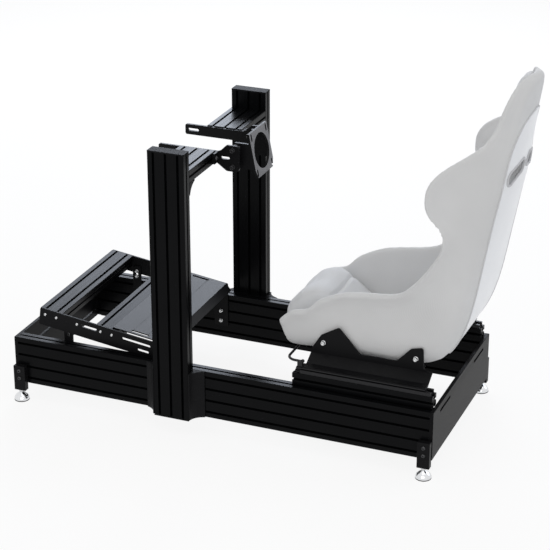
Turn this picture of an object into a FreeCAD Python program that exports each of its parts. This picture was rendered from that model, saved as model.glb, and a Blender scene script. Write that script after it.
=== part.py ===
import FreeCAD, Part
import math
import os

# Sim racing cockpit of slotted aluminium profile, in millimetres.
# +X is the way the driver faces, +Y the driver's left and +Z up.
# The origin is on the floor, under the middle of the cockpit.
# A setback is measured back from the front face of the front end plate.
# A height is measured up from the underside of the base rails.

SIZES = {
    # slotted profile
    "module": 40,
    "slot_mouth": 8.2,
    "slot_lip": 4.5,
    "slot_cavity": 20,
    "slot_shoulder": 2,
    "slot_floor": 10,
    "slot_depth": 12.3,
    "edge_break": 1.5,
    "core_bore": 7,
    # base frame
    "frame_length": 1424,
    "frame_width": 600,
    "floor_gap": 58,
    "origin_setback": 812,
    "end_plate": 12,
    "plate_slot_width": 9,
    "rear_slot_length": 103,
    "rear_slot_offset": 179.5,
    "rear_slot_drop": 24,
    "front_slot_length": 109,
    "front_slot_offset": 98.5,
    "front_slot_drop": 60,
    "low_slot_length": 90,
    "low_slot_offset": 193,
    "low_slot_rise": 26,
    # uprights and their corner brackets
    "upright_setback": 517,
    "upright_length": 880,
    "cap_thickness": 5,
    "bracket_leg": 40,
    "bracket_toe": 4,
    "bracket_hollow": 5,
    # wheel mount
    "beam_top": 822,
    "arm_gap": 192,
    "arm_thickness": 8,
    "arm_drop": 3,
    "arm_height": 34,
    "arm_reach": 74,
    "arm_corner": 6,
    "arm_slot_length": 38,
    "arm_slot_width": 9,
    "arm_slot_margin": 9,
    "head_slot_length": 30,
    "head_slot_offset": 32,
    "arm_head_length": 78,
    "arm_head_rise": 24,
    "arm_head_height": 84,
    "arm_tab_width": 26,
    "face_width": 140,
    "face_height": 145,
    "face_plate": 8,
    "face_tilt": 11,
    "face_standoff": 111,
    "face_drop": 19,
    "face_bore": 112,
    "face_corner": 26,
    "face_slot_length": 24,
    "face_slot_width": 8.4,
    "face_slot_spread": 114,
    "cheek_length": 58,
    "cheek_height": 82,
    "boss_diameter": 22,
    "boss_spacing": 54,
    # pedal deck
    "deck_setback": 80,
    "deck_height": 261,
    "deck_tilt": 7.5,
    "deck_length": 440,
    "deck_plate": 5,
    "deck_plate_depth": 60,
    "rear_bar_offset": 200,
    "heel_offset": 258,
    "heel_length": 178,
    "heel_sheet": 4,
    "heel_lip": 28,
    "heel_margin": 5,
    "heel_slot_length": 60,
    "heel_slot_inset": 14,
    "leg_setback": 160,
    "leg_width": 31,
    "leg_top": 216,
    "leg_bottom": 118,
    "leg_slot_length": 34,
    "lug_setback": 490,
    "lug_width": 50,
    "lug_bottom": 44,
    "waist_along": 330,
    "deck_slot_drop": 20,
    "front_slot_along": 178,
    "front_slot_run": 58,
    "rear_slot_along": 346,
    "rear_slot_run": 100,
    "lower_slot_along": 373,
    "lower_slot_drop": 43,
    "lower_slot_run": 40,
    # seat carrier
    "seat_bar_length": 451,
    "seat_bar_inset": 22,
    "rear_beam_gap": 130,
    "slider_width": 34,
    "slider_height": 12,
    "slider_wall": 2.5,
    "slider_lip": 6,
    "slider_play": 0.3,
    "slider_side_play": 1,
    "lower_slider_offset": 24,
    "lower_slider_length": 420,
    "upper_slider_offset": 11,
    "upper_slider_length": 415,
    "slider_rise": 5,
    "slider_web": 10,
    "slider_top": 3,
    "handle_tube": 8,
    "handle_reach": 31,
    "handle_bend": 30,
    "handle_pivot_offset": 22,
    "handle_pivot_rise": 8,
    "handle_eye": 11.2,
    "handle_pin": 6,
    "handle_fit": 0.05,
    # seat side brackets
    "bracket_sheet": 4,
    "seat_bracket_offset": 34,
    "seat_bracket_length": 392,
    "bracket_slope": 22,
    "ear_face": 202,
    "ear_round": 8,
    "bolt_offset": 75,
    "bolt_spacing": 298,
    "bolt_rise": 63,
    "front_ear_toe": 14,
    "front_ear_shoulder": 25,
    "front_ear_rise": 59,
    "front_ear_reach": 8,
    "front_ear_length": 50,
    "ear_waist_start": 120,
    "ear_waist_end": 62,
    "rear_ear_toe": 10,
    "rear_ear_shoulder": 29,
    "rear_ear_rise": 39,
    "rear_ear_reach": 17,
    "rear_ear_length": 22,
    # bucket seat
    "seat_overhang": 56,
    "seat_rise": 30,
    "shell_floor": 24,
    "shell_root": 28,
    "shell_rim": 26,
    "base_corner": 18,
    "back_corner": 40,
    "shell_cove": 14,
    "pad_thickness": 45,
    "head_pad_thickness": 20,
    "back_crown": 18,
    "harness_slot_length": 118,
    "harness_slot_height": 44,
    "harness_slot_offset": 72,
    "harness_slot_rise": 622,
    "harness_slot_tilt": 14,
    "pad_edge": 6,
    "pad_gap": 0.3,
    "pad_side_gap": 1,
    "seat_boss": 34,
    # levelling feet
    "foot_block_length": 40,
    "foot_block_width": 20,
    "foot_block_height": 87,
    "foot_block_drop": 22,
    "foot_inset": 2,
    "foot_base": 50,
    "foot_cone": 27,
    "foot_neck": 22,
    "foot_rim": 4,
    "foot_stud": 10,
}

Vector = FreeCAD.Vector
doc = FreeCAD.newDocument("sim_racing_cockpit")
sheet = doc.addObject("Spreadsheet::Sheet", "sizes")
for row, (alias, number) in enumerate(SIZES.items(), start=1):
    sheet.set(f"A{row}", alias)
    sheet.set(f"B{row}", str(number))
    sheet.setAlias(f"B{row}", alias)
doc.recompute()


def size(alias):
    return float(sheet.get(alias))


MODULE = size("module")
HALF_WIDTH = size("frame_width") / 2
RAIL_HEIGHT = 4 * MODULE
UPRIGHT_WIDTH = 3 * MODULE
SIDES = (("left", 1), ("right", -1))
sub_parts = []


def back(setback):
    """X of a point that lies a setback behind the front face."""
    return size("origin_setback") - setback


def up(height):
    """Z of a point at a height over the underside of the rails."""
    return size("floor_gap") + height


def keep(piece, label):
    piece.Label = label
    sub_parts.append(piece)
    return piece


def polygon(points):
    corners = [Vector(*point) for point in points]
    return Part.makePolygon(corners + corners[:1])


def placed(x, y, z, axis=(0, 0, 1), angle=0):
    return FreeCAD.Placement(Vector(x, y, z), FreeCAD.Rotation(Vector(*axis), angle))


def solid_feature(label, shape, placement=None):
    """A sub-part whose form is made by shape functions."""
    feature = doc.addObject("Part::Feature", label)
    feature.Shape = shape
    if placement:
        feature.Placement = placement
    return keep(feature, label)


# Sketch geometry

def line_loop(points):
    ends = points[1:] + points[:1]
    return [Part.LineSegment(Vector(*a, 0), Vector(*b, 0)) for a, b in zip(points, ends)]


def rounded_loop(corners):
    """Closed outline of lines and arcs; each corner is (x, y, radius)."""
    edges = []
    starts = []
    count = len(corners)
    for i, (x, y, radius) in enumerate(corners):
        here = Vector(x, y, 0)
        before = Vector(*corners[i - 1][:2], 0) - here
        after = Vector(*corners[(i + 1) % count][:2], 0) - here
        before.normalize()
        after.normalize()
        half = before.getAngle(after) / 2
        reach = radius / math.tan(half)
        middle = before + after
        middle.normalize()
        apex = here + middle * (radius / math.sin(half) - radius)
        starts.append((here + before * reach, apex, here + after * reach))
    for i, (first, apex, last) in enumerate(starts):
        if corners[i][2] > 0:
            edges.append(Part.Arc(first, apex, last))
        edges.append(Part.LineSegment(last, starts[(i + 1) % count][0]))
    return edges


# Angle in degrees of a slot that stands upright.
UPRIGHT = 90


def slot_loop(x, y, length, width, angle=0):
    """Round-ended slot, centred on a point and turned by an angle."""
    radius = width / 2
    along = Vector(math.cos(math.radians(angle)), math.sin(math.radians(angle)), 0)
    across = Vector(-along.y, along.x, 0)
    centre = Vector(x, y, 0)
    head = centre + along * (length / 2 - radius)
    tail = centre - along * (length / 2 - radius)
    return [
        Part.LineSegment(tail + across * radius, head + across * radius),
        Part.Arc(head + across * radius, head + along * radius, head - across * radius),
        Part.LineSegment(head - across * radius, tail - across * radius),
        Part.Arc(tail - across * radius, tail - along * radius, tail + across * radius),
    ]


def circle_loop(x, y, diameter):
    return [Part.Circle(Vector(x, y, 0), Vector(0, 0, 1), diameter / 2)]


def padded_sketch(body, label, plane_role, loops, length):
    """A pad in a body, of one sketch with an outline and its openings."""
    sketch = body.newObject("Sketcher::SketchObject", label + "_sketch")
    plane = [item for item in body.Origin.OriginFeatures if item.Role == plane_role][0]
    sketch.AttachmentSupport = (plane, [""])
    sketch.MapMode = "FlatFace"
    for loop in loops:
        sketch.addGeometry(loop, False)
    pad = body.newObject("PartDesign::Pad", label + "_pad")
    pad.Profile = sketch
    pad.setExpression("Length", length)
    return pad


def sketched_plate(label, plane_role, loops, thickness, placement):
    """Flat plate as a body of its own."""
    body = doc.addObject("PartDesign::Body", label)
    padded_sketch(body, label, plane_role, loops, thickness)
    body.Placement = placement
    return keep(body, label)


# Slotted profile

def slot_points():
    mouth = size("slot_mouth") / 2
    cavity = size("slot_cavity") / 2
    floor = size("slot_floor") / 2
    lip = size("slot_lip")
    shoulder = lip + size("slot_shoulder")
    half = [(mouth, 0), (mouth, lip), (cavity, lip), (cavity, shoulder), (floor, size("slot_depth"))]
    return [(-along, depth) for along, depth in half] + half[::-1]


def profile_face(columns, rows):
    """Section of a profile, centred, with one slot per module on each side."""
    width = columns * MODULE
    height = rows * MODULE
    bevel = size("edge_break")
    sides = [
        (Vector(-width / 2, -height / 2), Vector(1, 0), Vector(0, 1), columns),
        (Vector(width / 2, -height / 2), Vector(0, 1), Vector(-1, 0), rows),
        (Vector(width / 2, height / 2), Vector(-1, 0), Vector(0, -1), columns),
        (Vector(-width / 2, height / 2), Vector(0, -1), Vector(1, 0), rows),
    ]
    outline = []
    for corner, along, inward, count in sides:
        outline.append(corner + along * bevel)
        for k in range(count):
            centre = corner + along * (MODULE * (k + 0.5))
            outline += [centre + along * a + inward * d for a, d in slot_points()]
        outline.append(corner + along * (MODULE * count - bevel))
    face = Part.Face(Part.makePolygon(outline + outline[:1]))
    bores = []
    for column in range(columns):
        for row in range(rows):
            centre = Vector((column + 0.5) * MODULE - width / 2, (row + 0.5) * MODULE - height / 2)
            circle = Part.makeCircle(size("core_bore") / 2, centre)
            bores.append(Part.Face(Part.Wire(circle)))
    return face.cut(bores)


def extruded(label, face, length, placement):
    """A section drawn out along its own Z."""
    section = doc.addObject("Part::Feature", label + "_section")
    section.Shape = face
    bar = doc.addObject("Part::Extrusion", label)
    bar.Base = section
    bar.DirMode = "Custom"
    bar.Dir = Vector(0, 0, 1)
    bar.Solid = True
    bar.setExpression("LengthFwd", length)
    bar.Placement = placement
    return keep(bar, label)


def profile_bar(label, columns, rows, length, placement):
    return extruded(label, profile_face(columns, rows), length, placement)


def lengthwise(x, y, z):
    """Bar that runs back along -X; its columns lie along Y."""
    turn = FreeCAD.Rotation(Vector(0, 1, 0), -90).multiply(FreeCAD.Rotation(Vector(0, 0, 1), 90))
    return FreeCAD.Placement(Vector(x, y, z), turn)


def crosswise(x, y, z):
    """Bar that runs to the right along -Y; its columns lie along X."""
    return placed(x, y, z, (1, 0, 0), 90)


# Base frame

def base_rails():
    for name, side in SIDES:
        y = side * (HALF_WIDTH - MODULE / 2)
        place = lengthwise(back(size("end_plate")), y, up(RAIL_HEIGHT / 2))
        profile_bar(f"{name}_base_rail", 1, 4, "sizes.frame_length - 2 * sizes.end_plate", place)


def end_plate(label, slots, front_setback):
    outline = line_loop([
        (-HALF_WIDTH, up(0)),
        (HALF_WIDTH, up(0)),
        (HALF_WIDTH, up(RAIL_HEIGHT)),
        (-HALF_WIDTH, up(RAIL_HEIGHT)),
    ])
    loops = [outline]
    for offset, height, length in slots:
        for side in (1, -1):
            loops.append(slot_loop(side * offset, up(height), length, size("plate_slot_width")))
    place = placed(back(front_setback + size("end_plate")), 0, 0)
    sketched_plate(label, "YZ_Plane", loops, "sizes.end_plate", place)


def end_plates():
    front_slots = [
        (size("front_slot_offset"), RAIL_HEIGHT - size("front_slot_drop"), size("front_slot_length")),
        (size("low_slot_offset"), size("low_slot_rise"), size("low_slot_length")),
    ]
    rear_slots = [
        (size("rear_slot_offset"), RAIL_HEIGHT - size("rear_slot_drop"), size("rear_slot_length")),
    ]
    end_plate("front_end_plate", front_slots, 0)
    end_plate("rear_end_plate", rear_slots, size("frame_length") - size("end_plate"))


# Corner brackets

def bracket_face():
    """Gusset section: two legs along +X and +Y and a hollow slope."""
    leg = size("bracket_leg")
    toe = size("bracket_toe")
    middle = (leg + toe) / 2 - size("bracket_hollow")
    slope = Part.Arc(Vector(leg, toe), Vector(middle, middle), Vector(toe, leg)).toShape()
    corners = [(toe, leg), (0, leg), (0, 0), (leg, 0), (leg, toe)]
    legs = Part.makePolygon([Vector(x, y) for x, y in corners])
    return Part.Face(Part.Wire([slope] + legs.Edges))


def corner_bracket(label, length, placement):
    return extruded(label, bracket_face(), length, placement)


# Uprights

def uprights():
    middle = back(size("upright_setback") + UPRIGHT_WIDTH / 2)
    front = back(size("upright_setback"))
    rear = front - UPRIGHT_WIDTH
    top = up(size("upright_length"))
    for name, side in SIDES:
        y = side * (HALF_WIDTH + MODULE / 2)
        profile_bar(f"{name}_upright", 3, 1, "sizes.upright_length", placed(middle, y, up(0)))
        cap = doc.addObject("Part::Box", f"{name}_upright_cap")
        cap.setExpression("Length", "3 * sizes.module")
        cap.setExpression("Width", "sizes.module")
        cap.setExpression("Height", "sizes.cap_thickness")
        cap.Placement = placed(rear, y - MODULE / 2, top)
        keep(cap, f"{name}_upright_cap")
        # The section's legs point along +X and +Y; each corner turns them.
        face = side * HALF_WIDTH
        front_turn = 0 if side > 0 else -90
        rear_turn = 90 if side > 0 else 180
        height = "4 * sizes.module"
        corner_bracket(f"{name}_front_corner_bracket", height, placed(front, face, up(0), angle=front_turn))
        corner_bracket(f"{name}_rear_corner_bracket", height, placed(rear, face, up(0), angle=rear_turn))


# Wheel mount

ARM_OUTER = size("arm_gap") / 2 + size("arm_thickness")
BEAM_REAR = size("upright_setback") + UPRIGHT_WIDTH
ARM_TOP = size("beam_top") - size("arm_drop")
ARM_HEAD_MIDDLE = ARM_TOP + size("arm_head_rise") - size("arm_head_height") / 2


def wheel_beams():
    middle = back(size("upright_setback") + UPRIGHT_WIDTH / 2)
    z = up(size("beam_top") - MODULE / 2)
    length = "sizes.frame_width / 2 - sizes.arm_gap / 2 - sizes.arm_thickness"
    front = back(size("upright_setback"))
    for name, side in SIDES:
        start = HALF_WIDTH if side > 0 else -ARM_OUTER
        profile_bar(f"{name}_wheel_beam", 3, 1, length, crosswise(middle, start, z))
        # The gusset hangs in the corner under the beam, along the beam's width.
        legs = FreeCAD.Rotation(Vector(0, 0, -1), Vector(0, -side, 0), Vector(-side, 0, 0), "XYZ")
        start_x = front if side > 0 else front - UPRIGHT_WIDTH
        place = FreeCAD.Placement(Vector(start_x, side * HALF_WIDTH, z - MODULE / 2), legs)
        corner_bracket(f"{name}_beam_bracket", "3 * sizes.module", place)


def arm_outline():
    """Side view of an arm: slotted bar in front, broad head behind the beam."""
    top = up(ARM_TOP)
    bottom = top - size("arm_height")
    front = back(size("upright_setback") - size("arm_reach"))
    beam_rear = back(BEAM_REAR)
    rear = beam_rear - size("arm_head_length")
    head_top = top + size("arm_head_rise")
    head_bottom = head_top - size("arm_head_height")
    corner = size("arm_corner")
    sweep = size("arm_head_rise")
    neck = beam_rear - sweep / 2
    head_front = neck - sweep
    return [
        (front, bottom, corner),
        (front, top, corner),
        (neck, top, sweep),
        (head_front, head_top, sweep / 2),
        (rear, head_top, sweep / 2),
        (rear, head_bottom, sweep / 2),
        (head_front, head_bottom, sweep / 2),
        (beam_rear, bottom, sweep),
    ]


def wheel_arms():
    """Plates on the beams' inner ends, each with a tab on the beam's rear face."""
    slot = size("arm_slot_length")
    width = size("arm_slot_width")
    thick = size("arm_thickness")
    bottom = up(ARM_TOP - size("arm_height"))
    front = back(size("upright_setback") - size("arm_reach"))
    slot_x = front - size("arm_slot_margin") - slot / 2
    head_slot_x = back(BEAM_REAR + size("head_slot_offset"))
    loops = [
        rounded_loop(arm_outline()),
        slot_loop(slot_x, bottom + size("arm_height") / 2, slot, width),
        slot_loop(head_slot_x, up(ARM_HEAD_MIDDLE), size("head_slot_length"), width),
    ]
    tab = line_loop([
        (back(BEAM_REAR), bottom),
        (back(BEAM_REAR), up(ARM_TOP)),
        (back(BEAM_REAR) - thick, up(ARM_TOP)),
        (back(BEAM_REAR) - thick, bottom),
    ])
    for name, side in SIDES:
        y = ARM_OUTER if side > 0 else thick - ARM_OUTER
        arm = sketched_plate(f"{name}_wheel_arm", "XZ_Plane", loops, "sizes.arm_thickness", placed(0, y, 0))
        # Pads run towards the right, so the left tab is turned round and the right one starts inside its arm.
        length = "sizes.arm_tab_width" if side > 0 else "sizes.arm_tab_width + sizes.arm_thickness"
        tab_pad = padded_sketch(arm, f"{name}_arm_tab", "XZ_Plane", [tab], length)
        tab_pad.Reversed = side > 0


def face_outline():
    """Wheel plate's outline with its lower corners cut off."""
    half_w = size("face_width") / 2
    half_h = size("face_height") / 2
    corner = size("face_corner")
    return line_loop([
        (-half_w + corner / 2, -half_h),
        (half_w - corner / 2, -half_h),
        (half_w, -half_h + corner),
        (half_w, half_h),
        (-half_w, half_h),
        (-half_w, -half_h + corner),
    ])


def flat_face(loop):
    return Part.Face(Part.Wire([edge.toShape() for edge in loop]))


def wheel_face_plate():
    """Tilted face with its bore and slots, two cheeks and their bosses."""
    thick = size("face_plate")
    spread = size("face_slot_spread") / 2
    half_w = size("face_width") / 2
    slot_size = (size("face_slot_length"), size("face_slot_width"))
    holes = [flat_face(circle_loop(0, 0, size("face_bore")))]
    for side_y in (1, -1):
        for side_z in (1, -1):
            holes.append(flat_face(slot_loop(side_y * spread, side_z * spread, *slot_size, UPRIGHT)))
    plate = flat_face(face_outline()).cut(holes).extrude(Vector(0, 0, -thick))
    rear = back(BEAM_REAR + size("face_standoff"))
    facing = FreeCAD.Rotation(Vector(0, -1, 0), Vector(0, 0, 1), Vector(-1, 0, 0), "XYZ")
    tilt = FreeCAD.Rotation(Vector(0, 1, 0), size("face_tilt"))
    centre = Vector(rear, 0, up(size("beam_top") - size("face_drop")))
    plate.Placement = FreeCAD.Placement(centre, tilt.multiply(facing))
    # The cheeks reach forward from the plate and lean with it at their rear edge.
    middle = up(ARM_HEAD_MIDDLE)
    half_cheek = size("cheek_height") / 2
    cheek_rear = rear + thick / 2
    cheek_front = cheek_rear + size("cheek_length")
    lean = math.tan(math.radians(size("face_tilt"))) * half_cheek
    cheek = [
        (cheek_rear - lean, middle - half_cheek),
        (cheek_rear + lean, middle + half_cheek),
        (cheek_front, middle + half_cheek),
        (cheek_front, middle - half_cheek),
    ]
    boss_x = back(BEAM_REAR + size("arm_head_length")) + size("boss_diameter")
    boss_foot = half_w - thick / 2
    boss_reach = size("arm_gap") / 2 - boss_foot
    pieces = [plate]
    for side in (1, -1):
        wire = polygon([(x, side * half_w, z) for x, z in cheek])
        pieces.append(Part.Face(wire).extrude(Vector(0, -side * thick, 0)))
        for step in (1, -1):
            start = Vector(boss_x, side * boss_foot, middle + step * size("boss_spacing") / 2)
            boss = Part.makeCylinder(size("boss_diameter") / 2, boss_reach, start, Vector(0, side, 0))
            pieces.append(boss)
    solid_feature("wheel_face_plate", pieces[0].multiFuse(pieces[1:]).removeSplitter())


# Pedal deck

DECK_COS = math.cos(math.radians(size("deck_tilt")))
DECK_SIN = math.sin(math.radians(size("deck_tilt")))
DECK_SPAN = size("frame_width") - 2 * MODULE - 2 * size("deck_plate")


def on_deck(along, rise):
    """X and Z of a point along the tilted deck, back from its front top edge."""
    x = back(size("deck_setback") + along * DECK_COS + rise * DECK_SIN)
    z = up(size("deck_height") - along * DECK_SIN + rise * DECK_COS)
    return (x, z)


def deck_place(along, rise, y):
    x, z = on_deck(along, rise)
    return placed(x, y, z, (0, 1, 0), -size("deck_tilt"))


def pedal_bars():
    offsets = {"front": 0, "rear": size("rear_bar_offset")}
    for name, offset in offsets.items():
        place = deck_place(offset + MODULE, -MODULE / 2, DECK_SPAN / 2)
        place.Rotation = place.Rotation.multiply(FreeCAD.Rotation(Vector(1, 0, 0), 90))
        length = "sizes.frame_width - 2 * sizes.module - 2 * sizes.deck_plate"
        profile_bar(f"{name}_pedal_bar", 2, 1, length, place)


def pedal_side_plates():
    """Slotted strips on the rails' inner faces, each with a lug down the rail."""
    depth = size("deck_plate_depth")
    lug_rear = back(size("lug_setback") + size("lug_width") / 2)
    lug_front = lug_rear + size("lug_width")
    bottom = up(size("lug_bottom"))
    radius = size("deck_plate")
    outline = [
        (*on_deck(0, -depth), radius),
        (*on_deck(0, 0), radius),
        (lug_rear, on_deck(size("deck_length"), 0)[1], radius),
        (lug_rear, bottom, radius),
        (lug_front, bottom, radius),
        (lug_front, bottom + size("lug_width"), radius),
        (*on_deck(size("waist_along"), -depth), radius),
    ]
    slots = [
        (size("front_slot_along"), size("deck_slot_drop"), size("front_slot_run")),
        (size("rear_slot_along"), size("deck_slot_drop"), size("rear_slot_run")),
        (size("lower_slot_along"), size("lower_slot_drop"), size("lower_slot_run")),
    ]
    loops = [rounded_loop(outline)]
    for along, drop, length in slots:
        x, z = on_deck(along, -drop)
        loops.append(slot_loop(x, z, length, size("plate_slot_width"), size("deck_tilt")))
    inner = HALF_WIDTH - MODULE
    for name, side in SIDES:
        y = inner if side > 0 else -inner + size("deck_plate")
        sketched_plate(f"{name}_pedal_side_plate", "XZ_Plane", loops, "sizes.deck_plate", placed(0, y, 0))


def heel_plate():
    """Sheet with a lip bent down by half a right angle and a slot near each side edge."""
    thick = size("heel_sheet")
    start = size("heel_offset")
    end = start + size("heel_length")
    lip = size("heel_lip") * math.sqrt(0.5)
    bend = thick * math.tan(math.pi / 8)
    side_view = [
        (start, 0),
        (end - bend, 0),
        (end - bend + lip, -lip),
        (end - bend + lip + thick * math.sqrt(0.5), thick * math.sqrt(0.5) - lip),
        (end, thick),
        (start, thick),
    ]
    half = DECK_SPAN / 2 - size("heel_margin")
    corners = [on_deck(along, rise) for along, rise in side_view]
    plate = Part.Face(polygon([(x, half, z) for x, z in corners])).extrude(Vector(0, -2 * half, 0))
    slots = []
    for side in (1, -1):
        loop = slot_loop(0, 0, size("heel_slot_length"), size("plate_slot_width"))
        cutter = flat_face(loop).extrude(Vector(0, 0, 3 * thick))
        y = side * (half - size("heel_slot_inset"))
        cutter.Placement = deck_place(start + size("heel_length") / 2, -thick, y)
        slots.append(cutter)
    solid_feature("heel_plate", plate.cut(slots))


def strip_outline(top):
    """Upright strip with rounded corners, from the legs' lower end to a top."""
    front = back(size("leg_setback"))
    rear = front - size("leg_width")
    bottom = up(size("leg_bottom"))
    corner = size("leg_width") / 4
    corners = [(front, bottom), (front, top), (rear, top), (rear, bottom)]
    return rounded_loop([(x, z, corner) for x, z in corners])


def pedal_legs():
    """Slotted legs from the side plates down to the rails, with a spacer behind each."""
    middle = back(size("leg_setback")) - size("leg_width") / 2
    top = up(size("leg_top"))
    rail_top = up(RAIL_HEIGHT)
    slot = slot_loop(middle, (top + rail_top) / 2, size("leg_slot_length"), size("plate_slot_width"), UPRIGHT)
    thick = size("deck_plate")
    rail_face = HALF_WIDTH - MODULE
    for name, side in SIDES:
        leg_y = rail_face - thick if side > 0 else -rail_face + 2 * thick
        leg_loops = [strip_outline(top), slot]
        sketched_plate(f"{name}_pedal_leg", "XZ_Plane", leg_loops, "sizes.deck_plate", placed(0, leg_y, 0))
        pad_y = rail_face if side > 0 else -rail_face + thick
        pad_loops = [strip_outline(rail_top)]
        sketched_plate(f"{name}_leg_spacer", "XZ_Plane", pad_loops, "sizes.deck_plate", placed(0, pad_y, 0))


# Seat carrier, set out from the rear end plate

CARRIER = size("frame_length") - size("end_plate") - size("seat_bar_length")
BAR_Y = HALF_WIDTH - size("seat_bar_inset") - MODULE / 2
BAR_TOP = RAIL_HEIGHT + MODULE
SLIDER_TOP = BAR_TOP + size("slider_height") + size("slider_rise") + size("slider_top")


def seat_bars():
    for name, side in SIDES:
        place = lengthwise(back(CARRIER), side * BAR_Y, up(RAIL_HEIGHT + MODULE / 2))
        profile_bar(f"{name}_seat_bar", 1, 1, "sizes.seat_bar_length", place)
    rear_end = size("frame_length") - size("end_plate") - size("rear_beam_gap")
    middles = {"front": CARRIER + MODULE / 2, "rear": rear_end - MODULE / 2}
    inner = HALF_WIDTH - MODULE
    for name, middle in middles.items():
        place = crosswise(back(middle), inner, up(RAIL_HEIGHT - MODULE / 2))
        profile_bar(f"{name}_seat_beam", 1, 1, "sizes.frame_width - 2 * sizes.module", place)


def run_back(half_section, y, z, setback, length):
    """Solid that runs back from a setback, of a section whose right half is given from (y, z)."""
    section = half_section + [(-a, b) for a, b in half_section[::-1]]
    wire = polygon([(back(setback), y + a, z + b) for a, b in section])
    return Part.Face(wire).extrude(Vector(-length, 0, 0))


def lower_slider_half():
    """Open channel with turned-in lips."""
    half = size("slider_width") / 2
    wall = size("slider_wall")
    tall = size("slider_height")
    gap = half - wall - size("slider_lip")
    inside = half - wall
    return [(half, 0), (half, tall), (gap, tall), (gap, tall - wall), (inside, tall - wall), (inside, wall)]


def upper_slider_half():
    """Foot inside the channel, web through its mouth and a flat top."""
    half = size("slider_width") / 2
    wall = size("slider_wall")
    foot = half - wall - size("slider_side_play")
    web = size("slider_web") / 2
    low = wall + size("slider_play")
    top = SLIDER_TOP - BAR_TOP
    plate_low = top - size("slider_top")
    foot_top = low + wall
    return [(foot, low), (foot, foot_top), (web, foot_top), (web, plate_low), (half, plate_low), (half, top)]


def handle_pivot(side):
    x = back(CARRIER + size("handle_pivot_offset"))
    return Vector(x, side * BAR_Y, up(SLIDER_TOP + size("handle_pivot_rise")))


EYE_WIDTH = size("slider_width") / 4
EYE_INSET = size("slider_width") / 3


def sliders():
    z = up(BAR_TOP)
    for name, side in SIDES:
        y = side * BAR_Y
        lower_start = CARRIER + size("lower_slider_offset")
        lower = run_back(lower_slider_half(), y, z, lower_start, size("lower_slider_length"))
        solid_feature(f"{name}_lower_slider", lower)
        upper_start = CARRIER + size("upper_slider_offset")
        upper = run_back(upper_slider_half(), y, z, upper_start, size("upper_slider_length"))
        # A lug at the front of the moving rail carries the handle's pivot pin.
        pivot = handle_pivot(side)
        lug_length = 2 * size("handle_tube")
        lug_y = y + side * EYE_WIDTH - EYE_WIDTH / 2
        lug_start = Vector(pivot.x - lug_length / 2, lug_y, up(SLIDER_TOP))
        lug = Part.makeBox(lug_length, EYE_WIDTH, 2 * size("handle_pivot_rise"), lug_start)
        pin_start = Vector(pivot.x, y + side * EYE_WIDTH, pivot.z)
        pin_length = EYE_WIDTH + EYE_INSET + EYE_WIDTH / 2
        pin = Part.makeCylinder(size("handle_pin") / 2, pin_length, pin_start, Vector(0, -side, 0))
        solid_feature(f"{name}_upper_slider", upper.fuse([lug, pin]).removeSplitter())


def slider_handle():
    """Round bar across the front of the seat, bent back to a pivot on each slider."""
    tube = size("handle_tube")
    left = handle_pivot(1)
    eye_y = left.y - EYE_INSET
    front_x = back(CARRIER - size("handle_reach"))
    bend = size("handle_bend")
    cut = bend * (1 - math.sqrt(0.5))
    run = [
        Vector(left.x, eye_y, left.z),
        Vector(front_x - bend, eye_y, left.z),
        Vector(front_x - cut, eye_y - cut, left.z),
        Vector(front_x, eye_y - bend, left.z),
    ]
    mirrored = [Vector(p.x, -p.y, p.z) for p in run]
    path = Part.Wire([
        Part.makeLine(run[0], run[1]),
        Part.Arc(run[1], run[2], run[3]).toShape(),
        Part.makeLine(run[3], mirrored[3]),
        Part.Arc(mirrored[3], mirrored[2], mirrored[1]).toShape(),
        Part.makeLine(mirrored[1], mirrored[0]),
    ])
    ring = Part.Wire(Part.makeCircle(tube / 2, run[0], Vector(1, 0, 0)))
    pieces = [path.makePipe(Part.Face(ring))]
    holes = []
    bore = size("handle_pin") / 2 + size("handle_fit")
    for side in (1, -1):
        outer = Vector(left.x, side * (eye_y + EYE_WIDTH / 2), left.z)
        across = Vector(0, -side, 0)
        pieces.append(Part.makeCylinder(size("handle_eye") / 2, EYE_WIDTH, outer, across))
        holes.append(Part.makeCylinder(bore, 2 * EYE_WIDTH, outer - across * (EYE_WIDTH / 2), across))
    solid_feature("slider_handle", pieces[0].multiFuse(pieces[1:]).cut(holes).removeSplitter())


# Seat side brackets

BOLT_HEIGHT = SLIDER_TOP + size("bolt_rise")


def ear_outline():
    """Side view of a bracket's upright web, with an ear at each seat bolt."""
    base = up(SLIDER_TOP + size("bracket_slope"))
    bolt = up(BOLT_HEIGHT)
    first = back(CARRIER + size("bolt_offset"))
    second = first - size("bolt_spacing")
    front = back(CARRIER + size("seat_bracket_offset"))
    rear = front - size("seat_bracket_length")
    waist = base + size("bracket_slope")
    small = size("ear_round") / 2
    large = size("ear_round") * 2
    return [
        (front, base, 0),
        (front, base + size("front_ear_toe"), small),
        (first + size("front_ear_reach"), bolt + size("front_ear_shoulder"), size("ear_round")),
        (first - size("front_ear_length"), bolt + size("front_ear_rise"), size("ear_round")),
        (first - size("ear_waist_start"), waist, large),
        (second + size("ear_waist_end"), waist, large),
        (second + size("rear_ear_reach"), bolt + size("rear_ear_shoulder"), size("ear_round")),
        (second - size("rear_ear_length"), bolt + size("rear_ear_rise"), size("ear_round")),
        (second - size("rear_ear_length") - small, base + size("rear_ear_toe"), small),
        (rear, base, 0),
    ]


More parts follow.
